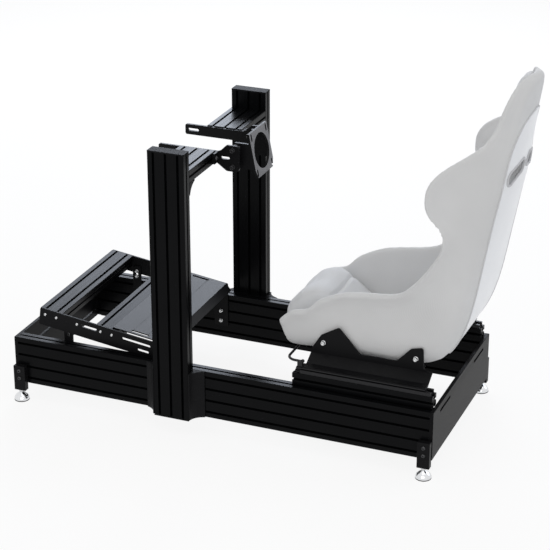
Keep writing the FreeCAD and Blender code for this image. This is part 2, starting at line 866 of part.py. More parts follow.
def seat_brackets():
    """Bent sheet: a foot on the slider, a slope inwards and two ears on the seat."""
    thick = size("bracket_sheet")
    foot = up(SLIDER_TOP)
    base = foot + size("bracket_slope")
    face_y = size("ear_face")
    foot_out = BAR_Y + size("slider_width") / 2
    foot_in = BAR_Y - size("slider_width") / 2
    section = [
        (foot_out, foot),
        (foot_out, foot + thick),
        (foot_in + thick / 2, foot + thick),
        (face_y + thick, base + thick / 2),
        (face_y + thick, base + thick),
        (face_y, base + thick),
        (face_y, base),
        (foot_in, foot),
    ]
    front = back(CARRIER + size("seat_bracket_offset"))
    for name, side in SIDES:
        wire = polygon([(front, side * y, z) for y, z in section])
        skirt = Part.Face(wire).extrude(Vector(-size("seat_bracket_length"), 0, 0))
        web = flat_face(rounded_loop(ear_outline())).extrude(Vector(0, 0, thick))
        web_y = face_y + thick if side > 0 else -face_y
        web.Placement = placed(0, web_y, 0, (1, 0, 0), 90)
        solid_feature(f"{name}_seat_bracket", skirt.fuse(web).removeSplitter())


# Bucket seat

# Stations from the nose to the top of the head: point on the back, point on the rim,
# half width of the back, half width of the rim. Points are (back from the nose, up from the base).
STATIONS = [
    ((10, -4), (-18, 80), 172, 184),
    ((30, -8), (24, 119), 178, 188),
    ((72, -8), (68, 127), 182, 192),
    ((115, -8), (108, 168), 184, 196),
    ((200, -8), (195, 208), 184, 200),
    ((300, -8), (290, 222), 184, 206),
    ((410, -8), (362, 236), 184, 214),
    ((496, 22), (404, 268), 184, 224),
    ((546, 92), (456, 332), 184, 238),
    ((576, 178), (500, 405), 184, 250),
    ((594, 265), (508, 455), 186, 258),
    ((608, 345), (486, 493), 186, 264),
    ((622, 425), (460, 528), 188, 268),
    ((636, 500), (452, 570), 188, 270),
    ((648, 560), (464, 620), 186, 264),
    ((657, 615), (502, 661), 182, 246),
    ((664, 665), (550, 693), 170, 220),
    ((672, 715), (597, 727), 155, 182),
    ((679, 765), (622, 770), 142, 160),
    ((688, 815), (638, 820), 132, 150),
    ((696, 858), (652, 862), 114, 130),
    ((701, 888), (664, 891), 86, 100),
    ((704, 904), (675, 906), 50, 62),
    ((706, 911), (684, 913), 18, 26),
]
# Stations of the nose roll, of each cushion's ends, and where the back's crown starts and is full.
NOSE_STATIONS = 2
BASE_CUSHION = (0, 7)
BACK_CUSHION = (9, 17)
HEAD_PAD = (18, 22)
CROWN_RISE = (7, 13)
# Most that the crown takes of a narrow section's half width.
CROWN_SHARE = 0.3
# Half of a cushion's dome, as shares of its half width and height.
DOME = [(1, 0), (0.98, 0.6), (0.8, 0.95), (0, 1)]
# Most that the rim, the wall's root and the cove take where the seat is thin or narrow.
RIM_SHARE = 0.6
ROOT_SHARE = 0.3
COVE_SHARE = 0.2
# Height of the wall's fullest point inside, and of a point on its outside, as shares up to the rim.
WALL_SHARE = 0.35
SIDE_SHARE = 0.4
SEAT_FRONT = CARRIER - size("seat_overhang")
SEAT_BASE = SLIDER_TOP + size("seat_rise")


def seat_rows():
    """The stations as rows of numbers, with one more on a smooth curve between each two."""
    stations = [(*rear, *rim, half_back, half_rim) for rear, rim, half_back, half_rim in STATIONS]
    last = len(stations) - 1
    rows = []
    for i, row in enumerate(stations[:-1]):
        around = (stations[max(i - 1, 0)], row, stations[i + 1], stations[min(i + 2, last)])
        between = [(9 * (b + c) - a - d) / 16 for a, b, c, d in zip(*around)]
        rows += [row, between]
    return rows + stations[-1:]


def seat_point(rear_x, rear_z):
    return Vector(back(SEAT_FRONT + rear_x), 0, up(SEAT_BASE + rear_z))


def station_sizes(number, row):
    """Half section of the shell at a row: named (across, inward) points and the depth to the rim."""
    rear_x, rear_z, rim_x, rim_z, half_back, half_rim = row
    depth = (seat_point(rim_x, rim_z) - seat_point(rear_x, rear_z)).Length
    share = number / (2 * len(STATIONS) - 2)
    corner = size("base_corner") + (size("back_corner") - size("base_corner")) * share
    corner = min(corner, depth / 2, half_back / 2)
    floor = min(size("shell_floor"), depth / 2)
    rim = min(size("shell_rim"), depth * RIM_SHARE)
    inside = half_back - min(size("shell_root"), half_back * ROOT_SHARE)
    rim_side = depth - rim / 2
    start, full = CROWN_RISE
    crown = size("back_crown") * min(max((number / 2 - start) / (full - start), 0), 1)
    return {
        "depth": depth,
        "crown": (0, -min(crown, half_back * CROWN_SHARE)),
        "back": (half_back - corner, 0),
        "flank": (half_back, corner),
        "side": (half_back + (half_rim - half_back) * SIDE_SHARE, corner + (rim_side - corner) * SIDE_SHARE),
        "rim_outside": (half_rim, rim_side),
        "rim_top": (half_rim - rim / 2, depth),
        "rim_inside": (half_rim - rim, rim_side),
        "wall": (inside, floor + (rim_side - floor) * WALL_SHARE),
        "floor": (inside - min(size("shell_cove"), half_back * COVE_SHARE), floor),
    }


def placer(row):
    """Puts an (across, inward) point of a row's section in its place."""
    origin = seat_point(row[0], row[1])
    inward = seat_point(row[2], row[3]) - origin
    inward.normalize()
    return lambda across, depth: origin + Vector(0, across, 0) + inward * depth


def curve(points):
    spline = Part.BSplineCurve()
    spline.interpolate(Points=points)
    return spline.toShape()


def shell_wire(number, row):
    """Closed channel section of the shell, from the middle of its back round both rims."""
    place = placer(row)
    sizes = station_sizes(number, row)
    sizes.pop("depth")
    right = {name: place(*point) for name, point in sizes.items()}
    left = {name: Vector(point.x, -point.y, point.z) for name, point in right.items()}
    return Part.Wire([
        curve([right["back"], right["flank"], right["side"], right["rim_outside"]]),
        Part.Arc(right["rim_outside"], right["rim_top"], right["rim_inside"]).toShape(),
        curve([right["rim_inside"], right["wall"], right["floor"]]),
        Part.makeLine(right["floor"], left["floor"]),
        curve([left["floor"], left["wall"], left["rim_inside"]]),
        Part.Arc(left["rim_inside"], left["rim_top"], left["rim_outside"]).toShape(),
        curve([left["rim_outside"], left["side"], left["flank"], left["back"]]),
        curve([left["back"], right["crown"], right["back"]]),
    ])


def cushion_wire(number, row, height):
    """Domed cushion section on the shell's floor."""
    place = placer(row)
    half, floor = station_sizes(number, row)["floor"]
    half = half - size("pad_side_gap")
    low = floor + size("pad_gap")
    dome = DOME + [(-across, rise) for across, rise in DOME[-2::-1]]
    points = [place(across * half, low + rise * height) for across, rise in dome]
    return Part.Wire([curve(points), Part.makeLine(points[-1], points[0])])


def rounded_height(share, height):
    """Height of a cushion that is full in the middle and falls off at both ends."""
    return max(size("pad_edge"), height * math.sqrt(1 - abs(2 * share - 1) ** 4))


def nose_height(number, row):
    """Base cushion's height: level with the rims at the nose, then down to the seat's pad."""
    sizes = station_sizes(number, row)
    roll = sizes["depth"] - sizes["floor"][1]
    nose_end = 2 * NOSE_STATIONS
    fall = min(max((number - nose_end) / nose_end, 0), 1)
    return roll + (size("pad_thickness") - roll) * fall


def harness_slots():
    """Prisms through the whole back, one for each shoulder strap."""
    spread = size("harness_slot_offset")
    slot = (size("harness_slot_length"), size("harness_slot_height"))
    behind = back(SEAT_FRONT + size("frame_length"))
    height = up(SEAT_BASE + size("harness_slot_rise"))
    facing = FreeCAD.Rotation(Vector(0, 1, 0), Vector(0, 0, 1), Vector(1, 0, 0), "XYZ")
    prisms = []
    for side in (1, -1):
        face = flat_face(slot_loop(side * spread, 0, *slot, -side * size("harness_slot_tilt")))
        prism = face.extrude(Vector(0, 0, size("frame_length")))
        prism.Placement = FreeCAD.Placement(Vector(behind, 0, height), facing)
        prisms.append(prism)
    return prisms


def cushion(label, stations, height_at, cuts=()):
    """Cushion between two stations, its height given along it."""
    first, last = stations
    rows = list(enumerate(seat_rows()))[2 * first:2 * last + 1]
    wires = []
    for step, (number, row) in enumerate(rows):
        share = step / (len(rows) - 1)
        wires.append(cushion_wire(number, row, height_at(share, number, row)))
    shape = Part.makeLoft(wires, True, True)
    for cut in cuts:
        shape = shape.cut(cut)
    solid_feature(label, shape)


def bucket_seat():
    wires = [shell_wire(number, row) for number, row in enumerate(seat_rows())]
    bosses = []
    boss_foot = STATIONS[NOSE_STATIONS][2] - size("shell_root") / 2
    for offset in (0, size("bolt_spacing")):
        x = back(CARRIER + size("bolt_offset") + offset)
        for side in (1, -1):
            start = Vector(x, side * boss_foot, up(BOLT_HEIGHT))
            reach = size("ear_face") - boss_foot
            bosses.append(Part.makeCylinder(size("seat_boss") / 2, reach, start, Vector(0, side, 0)))
    slots = harness_slots()
    shell = Part.makeLoft(wires, True, True).cut(slots)
    solid_feature("seat_shell", shell.fuse(bosses).removeSplitter())
    pad = size("pad_thickness")
    head_pad = size("head_pad_thickness")
    cushion("seat_base_cushion", BASE_CUSHION, lambda share, number, row: nose_height(number, row))
    cushion("seat_back_cushion", BACK_CUSHION, lambda share, number, row: rounded_height(share, pad), slots)
    cushion("seat_head_pad", HEAD_PAD, lambda share, number, row: rounded_height(share, head_pad))


# Levelling feet

def levelling_feet():
    length = size("foot_block_length")
    inset = size("foot_inset")
    ends = {"front": inset, "rear": size("frame_length") - inset - length}
    for end, setback in ends.items():
        for name, side in SIDES:
            width = size("foot_block_width")
            bottom = up(-size("foot_block_drop"))
            low_y = HALF_WIDTH if side > 0 else -HALF_WIDTH - width
            block = doc.addObject("Part::Box", f"{end}_{name}_foot_block")
            block.setExpression("Length", "sizes.foot_block_length")
            block.setExpression("Width", "sizes.foot_block_width")
            block.setExpression("Height", "sizes.foot_block_height")
            block.Placement = placed(back(setback + length), low_y, bottom)
            keep(block, f"{end}_{name}_foot_block")
            foot_y = side * (HALF_WIDTH + width / 2)
            levelling_foot(f"{end}_{name}_foot", back(setback + length / 2), foot_y)


def levelling_foot(label, x, y):
    """Turned foot: flat base, cone, and the stud up to its block."""
    base = size("foot_base") / 2
    neck = size("foot_neck") / 2
    stud = size("foot_stud") / 2
    rim = size("foot_rim")
    cone_top = size("foot_cone")
    stud_top = size("floor_gap") - size("foot_block_drop")
    body = doc.addObject("PartDesign::Body", label)
    sketch = body.newObject("Sketcher::SketchObject", label + "_sketch")
    plane = [item for item in body.Origin.OriginFeatures if item.Role == "XZ_Plane"][0]
    sketch.AttachmentSupport = (plane, [""])
    sketch.MapMode = "FlatFace"
    sketch.addGeometry(line_loop([
        (0, 0),
        (base, 0),
        (base, rim),
        (neck, cone_top - rim),
        (neck, cone_top),
        (stud, cone_top),
        (stud, stud_top),
        (0, stud_top),
    ]), False)
    turned = body.newObject("PartDesign::Revolution", label + "_turned")
    turned.Profile = sketch
    turned.ReferenceAxis = (sketch, ["V_Axis"])
    turned.Angle = 360
    body.Placement = placed(x, y, 0)
    keep(body, label)


def check_and_write():
    doc.recompute()
    for item in doc.Objects:
        if {"Invalid", "Error"} & set(item.State):
            raise RuntimeError(f"{item.Label} failed: {item.State}")
    for piece in sub_parts:
        if piece.Shape.isNull() or not piece.Shape.isValid():
            raise RuntimeError(f"{piece.Label} has no valid shape")
    os.makedirs("parts", exist_ok=True)
    for piece in sub_parts:
        piece.Shape.exportStep(f"parts/{piece.Label}.step")


base_rails()
end_plates()
uprights()
wheel_beams()
wheel_arms()
wheel_face_plate()
pedal_bars()
pedal_side_plates()
heel_plate()
pedal_legs()
seat_bars()
sliders()
slider_handle()
seat_brackets()
bucket_seat()
levelling_feet()
check_and_write()
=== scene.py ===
# Looks of the sim racing cockpit, in metres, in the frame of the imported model.
# +X is the way the driver faces, +Y the driver's left and +Z up.

import math

import bmesh
import bpy
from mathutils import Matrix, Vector
from mathutils.bvhtree import BVHTree


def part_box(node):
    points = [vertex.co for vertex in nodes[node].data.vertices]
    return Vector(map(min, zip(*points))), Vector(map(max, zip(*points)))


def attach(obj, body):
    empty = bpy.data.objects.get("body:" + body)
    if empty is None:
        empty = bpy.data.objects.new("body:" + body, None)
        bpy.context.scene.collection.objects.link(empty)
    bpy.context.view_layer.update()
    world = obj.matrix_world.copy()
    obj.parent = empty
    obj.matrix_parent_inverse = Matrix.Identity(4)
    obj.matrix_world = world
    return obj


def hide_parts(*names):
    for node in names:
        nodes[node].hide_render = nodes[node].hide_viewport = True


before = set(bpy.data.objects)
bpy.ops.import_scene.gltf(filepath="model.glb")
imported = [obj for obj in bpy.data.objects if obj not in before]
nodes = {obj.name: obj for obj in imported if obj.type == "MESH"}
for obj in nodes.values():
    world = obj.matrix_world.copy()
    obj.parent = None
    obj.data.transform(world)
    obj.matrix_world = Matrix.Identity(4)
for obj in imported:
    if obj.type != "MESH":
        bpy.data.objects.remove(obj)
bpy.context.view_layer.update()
scene = bpy.context.scene

SIDES = (("left", 1), ("right", -1))
ENDS = ("front", "rear")


def both(name):
    """The left and the right node of a pair."""
    return [f"{side}_{name}" for side, _ in SIDES]


# Shader helpers

EDGE_TURN = 0.80
FLAT_TURN = 0.995


def new_material(name):
    material = bpy.data.materials.new(name)
    material.use_nodes = True
    tree = material.node_tree
    return material, tree, tree.nodes["Principled BSDF"]


def add_node(tree, kind, **values):
    """New node with its input values set; underscores in a name stand for spaces."""
    node = tree.nodes.new(kind)
    for name, value in values.items():
        node.inputs[name.replace("_", " ")].default_value = value
    return node


def feed(tree, socket, value):
    """Links an output to a socket, or sets the socket to a constant."""
    if isinstance(value, (int, float, tuple)):
        socket.default_value = value
    else:
        tree.links.new(value, socket)


def math_node(tree, operation, *values):
    node = tree.nodes.new("ShaderNodeMath")
    node.operation = operation
    for socket, value in zip(node.inputs, values):
        feed(tree, socket, value)
    return node.outputs["Value"]


def dot_product(tree, *vectors):
    node = tree.nodes.new("ShaderNodeVectorMath")
    node.operation = "DOT_PRODUCT"
    for socket, vector in zip(node.inputs, vectors):
        feed(tree, socket, vector)
    return node.outputs["Value"]


def object_place(tree, scale=(1, 1, 1)):
    """Coordinates of the part's frame in metres, times a scale on each axis."""
    place = tree.nodes.new("ShaderNodeTexCoord")
    mapping = add_node(tree, "ShaderNodeMapping", Scale=scale)
    tree.links.new(place.outputs["Object"], mapping.inputs["Vector"])
    return mapping.outputs["Vector"]


def noise(tree, place, scale, detail=4.0, roughness=0.5):
    node = add_node(tree, "ShaderNodeTexNoise", Scale=scale, Detail=detail, Roughness=roughness)
    tree.links.new(place, node.inputs["Vector"])
    return node.outputs["Fac"]


def ranged(tree, value, low, high, low_in=0.3, high_in=0.7):
    """Maps a value from one range to another, and clamps it there."""
    limits = {"From_Min": low_in, "From_Max": high_in, "To_Min": low, "To_Max": high}
    node = add_node(tree, "ShaderNodeMapRange", **limits)
    tree.links.new(value, node.inputs["Value"])
    return node.outputs["Result"]


def mixed_colour(tree, share, first, second):
    """Mix of two colours, each a constant or an output."""
    node = tree.nodes.new("ShaderNodeMix")
    node.data_type = "RGBA"
    tree.links.new(share, node.inputs["Factor"])
    for name, colour in (("A", first), ("B", second)):
        socket = [item for item in node.inputs if item.name == name and item.type == "RGBA"][0]
        feed(tree, socket, (*colour, 1) if isinstance(colour, tuple) else colour)
    return [item for item in node.outputs if item.type == "RGBA"][0]


def bump(tree, shader, height, depth):
    node = add_node(tree, "ShaderNodeBump", Strength=1.0, Distance=depth)
    tree.links.new(height, node.inputs["Height"])
    tree.links.new(node.outputs["Normal"], shader.inputs["Normal"])


def edge_share(tree, radius):
    """1 on edges, 0 on flat faces: where handling rubs the finish, and on the anodised bars also where a
    glint is painted.
    """
    rounded = add_node(tree, "ShaderNodeBevel", Radius=radius)
    flat = tree.nodes.new("ShaderNodeNewGeometry")
    turned = dot_product(tree, rounded.outputs["Normal"], flat.outputs["Normal"])
    return ranged(tree, turned, 1.0, 0.0, EDGE_TURN, FLAT_TURN)


def times(colour, factor):
    return tuple(factor * part for part in colour)


# Materials

METAL_SPECULAR = 0.075
PROFILE_SPECULAR = 0.065
PLASTIC_SPECULAR = 0.03
STEEL_SPECULAR = 0.25
CLOTH_SPECULAR = 0.2

# Cycles per metre of the draw lines in metal: few along a bar, many across it.
ALONG = 5
ACROSS = 600
ROLLED_STRETCH = (6, 700, 700)

# Paint: its touch of blue, how much paler its clouds and its rubbed edges are, and its grain's height.
PAINT_BLUE = 1.1
PAINT_CLOUD = 1.6
PAINT_RUBBED = 3.5
PAINT_GRAIN = 0.35

# Rolled steel: height of its length marks, and how far its roughness falls and rises.
ROLLED_MARKS = 0.6
ROLLED_SMOOTH = 0.8
ROLLED_ROUGH = 1.25

# Cloth: two slanted directions of its threads, the share of threads and clouds in its colour,
# the height of its fuzz, and its sheen.
THREAD_DIRECTIONS = ((1.0, 0.8, 0.6), (-0.6, 1.0, -0.8))
THREAD_SHARE = 0.35
CLOUD_SHARE = 0.65
FUZZ_HEIGHT = 0.5
CLOTH_SHEEN = 0.25
SHEEN_ROUGHNESS = 0.5

# Moulded shell: height of its ripple, and its clear coat.
RIPPLE_HEIGHT = 4.0
CLEAR_COAT = 0.25
CLEAR_COAT_ROUGHNESS = 0.2


def anodised(name, stretch):
    """Black anodised extrusion: fine draw lines along the bar, and lighter edges, partly rubbed wear and
    partly a painted glint.
    """
    material, tree, shader = new_material(name)
    lines = noise(tree, object_place(tree, stretch), scale=1.0, detail=3.0)
    cloud = noise(tree, object_place(tree), scale=14.0)
    colour = mixed_colour(tree, cloud, (0.0020, 0.0021, 0.0025), (0.0036, 0.0038, 0.0044))
    # Lighter edges, partly rubbed wear and partly a painted glint.
    lighter_edges = math_node(tree, "MULTIPLY", edge_share(tree, radius=0.0012), cloud)
    colour = mixed_colour(tree, lighter_edges, colour, (0.014, 0.014, 0.015))
    tree.links.new(colour, shader.inputs["Base Color"])
    tree.links.new(ranged(tree, lines, low=0.23, high=0.35), shader.inputs["Roughness"])
    shader.inputs["Specular IOR Level"].default_value = PROFILE_SPECULAR
    bump(tree, shader, lines, depth=0.00004)
    return material


def powder_coat(name, tone, specular=METAL_SPECULAR):
    """Baked powder paint on sheet: orange peel with a finer grain on it."""
    material, tree, shader = new_material(name)
    place = object_place(tree)
    peel = noise(tree, place, scale=420.0, detail=2.0)
    grain = noise(tree, place, scale=2200.0, detail=2.0)
    cloud = noise(tree, place, scale=9.0)
    dark = (tone, tone, tone * PAINT_BLUE)
    colour = mixed_colour(tree, cloud, dark, times(dark, PAINT_CLOUD))
    lighter_edges = math_node(tree, "MULTIPLY", edge_share(tree, radius=0.0010), cloud)
    colour = mixed_colour(tree, lighter_edges, colour, times(dark, PAINT_RUBBED))
    tree.links.new(colour, shader.inputs["Base Color"])
    tree.links.new(ranged(tree, grain, low=0.30, high=0.44), shader.inputs["Roughness"])
    shader.inputs["Specular IOR Level"].default_value = specular
    height = math_node(tree, "ADD", peel, math_node(tree, "MULTIPLY", grain, PAINT_GRAIN))
    bump(tree, shader, height, depth=0.00008)
    return material


def cast_black():
    """Sand-fine die-cast surface under black paint."""
    material, tree, shader = new_material("cast_black")
    place = object_place(tree)
    sand = noise(tree, place, scale=900.0, detail=4.0, roughness=0.65)
    cloud = noise(tree, place, scale=22.0)
    colour = mixed_colour(tree, cloud, (0.0045, 0.0045, 0.005), (0.010, 0.010, 0.011))
    tree.links.new(colour, shader.inputs["Base Color"])
    tree.links.new(ranged(tree, sand, low=0.42, high=0.60), shader.inputs["Roughness"])
    shader.inputs["Specular IOR Level"].default_value = METAL_SPECULAR
    bump(tree, shader, sand, depth=0.00018)
    return material


def moulded_plastic(name, dark, light):
    """Moulded nylon with a spark-eroded grain."""
    material, tree, shader = new_material(name)
    place = object_place(tree)
    cells = add_node(tree, "ShaderNodeTexVoronoi", Scale=1300.0)
    tree.links.new(place, cells.inputs["Vector"])
    grain = cells.outputs["Distance"]
    cloud = noise(tree, place, scale=30.0)
    tree.links.new(mixed_colour(tree, cloud, dark, light), shader.inputs["Base Color"])
    rough = ranged(tree, grain, low=0.38, high=0.52, low_in=0.1, high_in=0.8)
    tree.links.new(rough, shader.inputs["Roughness"])
    shader.inputs["Specular IOR Level"].default_value = PLASTIC_SPECULAR
    bump(tree, shader, grain, depth=0.00008)
    return material


def rolled_steel(name, dark, light, metallic, roughness):
    """Rolled steel with length marks, blackened or plated."""
    material, tree, shader = new_material(name)
    lines = noise(tree, object_place(tree, ROLLED_STRETCH), scale=1.0, detail=3.0)
    spots = noise(tree, object_place(tree), scale=160.0, detail=5.0, roughness=0.6)
    tree.links.new(mixed_colour(tree, spots, dark, light), shader.inputs["Base Color"])
    rough = ranged(tree, spots, low=roughness * ROLLED_SMOOTH, high=roughness * ROLLED_ROUGH)
    tree.links.new(rough, shader.inputs["Roughness"])
    shader.inputs["Metallic"].default_value = metallic
    shader.inputs["Specular IOR Level"].default_value = STEEL_SPECULAR
    height = math_node(tree, "ADD", math_node(tree, "MULTIPLY", lines, ROLLED_MARKS), spots)
    bump(tree, shader, height, depth=0.00003)
    return material


def turned_chrome():
    """Polished chrome plate over turned steel, with faint tool rings."""
    material, tree, shader = new_material("turned_chrome")
    rings = add_node(tree, "ShaderNodeTexWave", Scale=420.0, Distortion=1.5, Detail=2.0)
    rings.bands_direction = "Z"
    tree.links.new(object_place(tree), rings.inputs["Vector"])
    smudge = noise(tree, object_place(tree), scale=60.0)
    colour = mixed_colour(tree, smudge, (0.66, 0.67, 0.69), (0.80, 0.81, 0.82))
    tree.links.new(colour, shader.inputs["Base Color"])
    tree.links.new(ranged(tree, smudge, low=0.06, high=0.18), shader.inputs["Roughness"])
    shader.inputs["Metallic"].default_value = 1.0
    bump(tree, shader, rings.outputs["Fac"], depth=0.000012)
    return material


def weave(tree, pitch):
    """Plain weave that needs no map: two slanted waves cross on any face."""
    place = object_place(tree)
    waves = []
    for direction in THREAD_DIRECTIONS:
        along = dot_product(tree, place, direction)
        turns = math_node(tree, "MULTIPLY", along, 2 * math.pi / pitch)
        waves.append(math_node(tree, "SINE", turns))
    crossed = math_node(tree, "MULTIPLY", *waves)
    return math_node(tree, "MULTIPLY_ADD", crossed, 0.5, 0.5)


def cloth(name, dark, light, pitch, depth):
    """Woven polyester cover with a nap that catches light at the edges."""
    material, tree, shader = new_material(name)
    place = object_place(tree)
    threads = weave(tree, pitch)
    fuzz = noise(tree, place, scale=1500.0, detail=3.0, roughness=0.7)
    cloud = noise(tree, place, scale=7.0)
    clouds = math_node(tree, "MULTIPLY", cloud, CLOUD_SHARE)
    share = math_node(tree, "MULTIPLY_ADD", threads, THREAD_SHARE, clouds)
    tree.links.new(mixed_colour(tree, share, dark, light), shader.inputs["Base Color"])
    tree.links.new(ranged(tree, fuzz, low=0.78, high=0.95), shader.inputs["Roughness"])
    shader.inputs["Specular IOR Level"].default_value = CLOTH_SPECULAR
    shader.inputs["Sheen Weight"].default_value = CLOTH_SHEEN
    shader.inputs["Sheen Roughness"].default_value = SHEEN_ROUGHNESS
    height = math_node(tree, "ADD", threads, math_node(tree, "MULTIPLY", fuzz, FUZZ_HEIGHT))
    bump(tree, shader, height, depth)
    return material


def gel_coat():
    """Pale moulded shell: a smooth coat with a long ripple and fine specks."""
    material, tree, shader = new_material("gel_coat")
    place = object_place(tree)
    ripple = noise(tree, place, scale=18.0, detail=2.0)
    specks = noise(tree, place, scale=1600.0, detail=2.0, roughness=0.6)
    colour = mixed_colour(tree, specks, (0.80, 0.81, 0.83), (0.87, 0.88, 0.90))
    tree.links.new(colour, shader.inputs["Base Color"])
    tree.links.new(ranged(tree, ripple, low=0.30, high=0.42), shader.inputs["Roughness"])
    shader.inputs["Coat Weight"].default_value = CLEAR_COAT
    shader.inputs["Coat Roughness"].default_value = CLEAR_COAT_ROUGHNESS
    height = math_node(tree, "ADD", math_node(tree, "MULTIPLY", ripple, RIPPLE_HEIGHT), specks)
    bump(tree, shader, height, depth=0.00003)
    return material


profile_lengthwise = anodised("anodised_lengthwise", (ALONG, ACROSS, ACROSS))
profile_crosswise = anodised("anodised_crosswise", (ACROSS, ALONG, ACROSS))
profile_upright = anodised("anodised_upright", (ACROSS, ACROSS, ALONG))
plate_paint = powder_coat("plate_paint", tone=0.0050)
deck_paint = powder_coat("deck_paint", tone=0.0060, specular=0.13)
# Lighter, glossier copy of the plate's black paint: a painted highlight for the light that the wide
# faces of the wheel face plate reflect. The real plate is black all over.
face_painted_highlight = powder_coat("face_painted_highlight", tone=0.080, specular=0.5)
end_paint = powder_coat("end_paint", tone=0.0045, specular=0.05)
casting = cast_black()
moulded = moulded_plastic("moulded_black", (0.006, 0.006, 0.007), (0.012, 0.012, 0.013))
trim_plastic = moulded_plastic("moulded_grey", (0.54, 0.54, 0.55), (0.64, 0.64, 0.65))
slide_steel = rolled_steel(
    "black_zinc_steel", (0.010, 0.010, 0.011), (0.028, 0.028, 0.030), metallic=0.4, roughness=0.36
)
black_screw = rolled_steel(
    "black_oxide_screw", (0.03, 0.03, 0.032), (0.09, 0.09, 0.094), metallic=0.8, roughness=0.26
)
bright_screw = rolled_steel(
    "bright_zinc_screw", (0.52, 0.53, 0.54), (0.70, 0.70, 0.70), metallic=1.0, roughness=0.22
)
chrome = turned_chrome()
grey_cloth = cloth(
    "grey_cloth", (0.62, 0.62, 0.62), (0.76, 0.76, 0.76), pitch=0.0022, depth=0.00014
)
pad_cloth = cloth(
    "pad_cloth", (0.60, 0.605, 0.615), (0.74, 0.745, 0.755), pitch=0.0030, depth=0.0002
)
piping_cloth = cloth(
    "piping_cloth", (0.60, 0.60, 0.61), (0.72, 0.72, 0.73), pitch=0.0016, depth=0.0002
)
shell_coat = gel_coat()


# Paint and finish of the rigid nodes

NODE_WELD = 0.00002
BEVEL_SEGMENTS = 2
BEVEL_ANGLE = math.radians(40)
SHEET_EDGE = 0.0006
ARM_EDGE = 0.0007
THICK_EDGE = 0.0010
BLOCK_EDGE = 0.0012
# Least share of a face's normal along X on the two wide faces of the wheel face plate, which get the
# painted highlight.
WIDE_FACE_SHARE = 0.9


def dress(names, material, bevel=None):
    """Gives CAD nodes their material, and softens the cut edges of plates."""
    for name in names:
        node = nodes[name]
        node.data.materials.clear()
        node.data.materials.append(material)
        if bevel:
            weld = node.modifiers.new("weld", "WELD")
            weld.merge_threshold = NODE_WELD
            edges = node.modifiers.new("softened_edges", "BEVEL")
            edges.width = bevel
            edges.segments = BEVEL_SEGMENTS
            edges.limit_method = "ANGLE"
            edges.angle_limit = BEVEL_ANGLE


def dress_face_plate():
    """Painted highlight on the wide faces of the wheel face plate: they get a lighter, glossier copy of
    its black paint, standing in for the light they reflect; its cheeks and edges keep the plain black
    paint.
    """
    dress(["wheel_face_plate"], face_painted_highlight, ARM_EDGE)
    plate = nodes["wheel_face_plate"].data
    plate.materials.append(plate_paint)
    for face in plate.polygons:
        # Wide faces get the painted highlight, the rest the plain black paint.
        face.material_index = 0 if abs(face.normal.x) > WIDE_FACE_SHARE else 1


dress(both("base_rail") + both("seat_bar"), profile_lengthwise)
dress(both("upright"), profile_upright)
dress(both("wheel_beam") + [f"{end}_pedal_bar" for end in ENDS], profile_crosswise)
dress([f"{end}_seat_beam" for end in ENDS], profile_crosswise)
dress([f"{end}_end_plate" for end in ENDS], end_paint, THICK_EDGE)
dress(both("wheel_arm"), plate_paint, ARM_EDGE)
dress_face_plate()
dress(both("pedal_side_plate") + both("pedal_leg") + both("leg_spacer"), plate_paint, SHEET_EDGE)
dress(["heel_plate"], deck_paint, SHEET_EDGE)
dress(both("seat_bracket"), plate_paint, SHEET_EDGE)
dress(both("front_corner_bracket") + both("rear_corner_bracket"), casting, THICK_EDGE)
dress(both("beam_bracket"), casting, THICK_EDGE)
dress([f"{end}_{name}" for end in ENDS for name in both("foot_block")], plate_paint, BLOCK_EDGE)
dress(both("upright_cap"), moulded, THICK_EDGE)
dress(both("lower_slider") + both("upper_slider") + ["slider_handle"], slide_steel)


# Turned and hexagonal fasteners

ROUND = False
HEXAGON = True
SIDES_ROUND = 32
SMOOTH_ANGLE = math.radians(32)
M6 = 0.006
M8 = 0.008


def axis_frame(axis):
    """An axis of length 1, and two directions across it."""
    axis = Vector(axis).normalized()
    helper = Vector((0, 0, 1)) if abs(axis.z) < 0.9 else Vector((1, 0, 0))
    first = axis.cross(helper).normalized()
    return axis, first, axis.cross(first)


def ring_radius(radius, angle, form):
    """Radius at an angle, of a circle or of a hexagon by half its width across flats."""
    if form == ROUND:
        return radius
    from_flat = (angle + math.pi / 6) % (math.pi / 3) - math.pi / 6
    return radius / math.cos(from_flat)


def turn(mesh, place, axis, rings):
    """Adds a closed turned form: rings of (radius, height, form) from its foot to its top."""
    axis, first, second = axis_frame(axis)
    loops = []
    for radius, height, form in rings:
        loop = []
        for step in range(SIDES_ROUND):
            angle = 2 * math.pi * step / SIDES_ROUND
            reach = ring_radius(radius, angle, form)
            across = first * (reach * math.cos(angle)) + second * (reach * math.sin(angle))
            loop.append(mesh.verts.new(Vector(place) + axis * height + across))
        loops.append(loop)
    for low, high in zip(loops[:-1], loops[1:]):
        for step in range(SIDES_ROUND):
            after = (step + 1) % SIDES_ROUND
            mesh.faces.new((low[step], low[after], high[after], high[step]))
    mesh.faces.new(list(reversed(loops[0])))
    mesh.faces.new(loops[-1])


# The three fasteners below have the usual proportions, as shares of their thread's diameter.

def cap_screw(mesh, place, axis, thread):
    """Socket cap screw on a washer, standing on its seat."""
    washer = 0.2 * thread
    top = washer + thread
    turn(mesh, place, axis, [
        (1.0 * thread, 0, ROUND),
        (1.0 * thread, 0.7 * washer, ROUND),
        (0.95 * thread, washer, ROUND),
        (0.80 * thread, washer, ROUND),
        (0.80 * thread, top - 0.12 * thread, ROUND),
        (0.70 * thread, top, ROUND),
        (0.46 * thread, top, ROUND),
        (0.375 * thread, top - 0.06 * thread, HEXAGON),
        (0.375 * thread, top - 0.5 * thread, HEXAGON),
    ])


